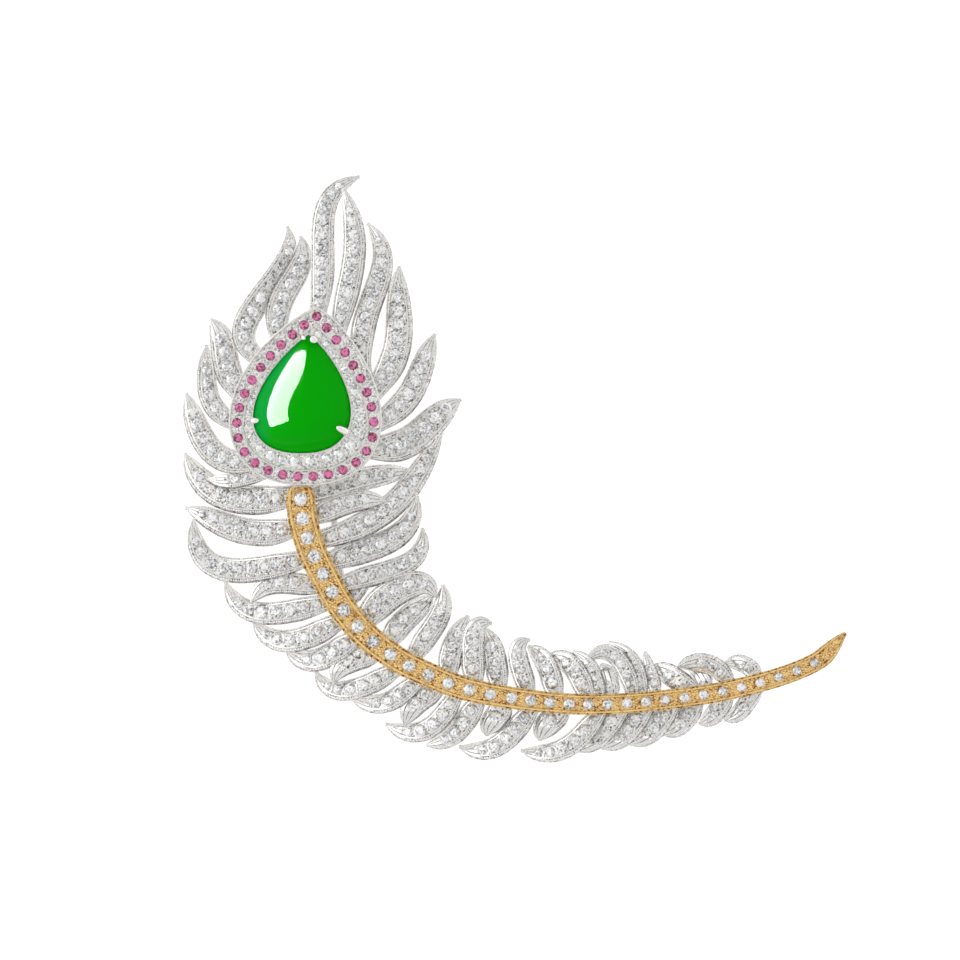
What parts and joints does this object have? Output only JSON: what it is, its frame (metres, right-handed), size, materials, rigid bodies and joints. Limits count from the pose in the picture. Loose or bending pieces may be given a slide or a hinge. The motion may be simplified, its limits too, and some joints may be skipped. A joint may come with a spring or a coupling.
{
  "type": "feather brooch",
  "caption": "Feather brooch: gem-set barbs fan from a gold quill with a row of diamonds, and its eye is a pear-shaped green cabochon in a ring of pink-red stones.",
  "frame": {"origin": "middle of the brooch's box, on the surface that it lies on", "axes": "the brooch lies on its back; +X to the right of its face, +Y up its face, +Z out of its face"},
  "size_m": [0.0832, 0.0738, 0.0097],
  "materials": {
    "white_gold": "polished white gold",
    "yellow_gold": "polished yellow gold",
    "jade": "polished green stone",
    "diamond": "cut stone",
    "ruby": "cut stone"
  },
  "bodies": {
    "root": {"frame": "white_gold", "quill": "yellow_gold", "jade_cabochon": "jade", "quill_diamonds": "diamond", "halo_diamonds": "diamond", "pin_fitting": "white_gold", "ruby_01": "ruby", "ruby_02": "ruby", "ruby_03": "ruby", "ruby_04": "ruby", "ruby_05": "ruby", "ruby_06": "ruby", "ruby_07": "ruby", "ruby_08": "ruby", "ruby_09": "ruby", "ruby_10": "ruby", "ruby_11": "ruby", "ruby_12": "ruby", "ruby_13": "ruby", "ruby_14": "ruby", "ruby_15": "ruby", "ruby_16": "ruby", "ruby_17": "ruby", "ruby_18": "ruby", "ruby_19": "ruby", "ruby_20": "ruby", "ruby_21": "ruby", "ruby_22": "ruby", "ruby_23": "ruby", "ruby_24": "ruby", "ruby_25": "ruby", "ruby_26": "ruby", "ruby_27": "ruby", "ruby_28": "ruby", "ruby_29": "ruby", "ruby_30": "ruby"}
  },
  "joints": []
}
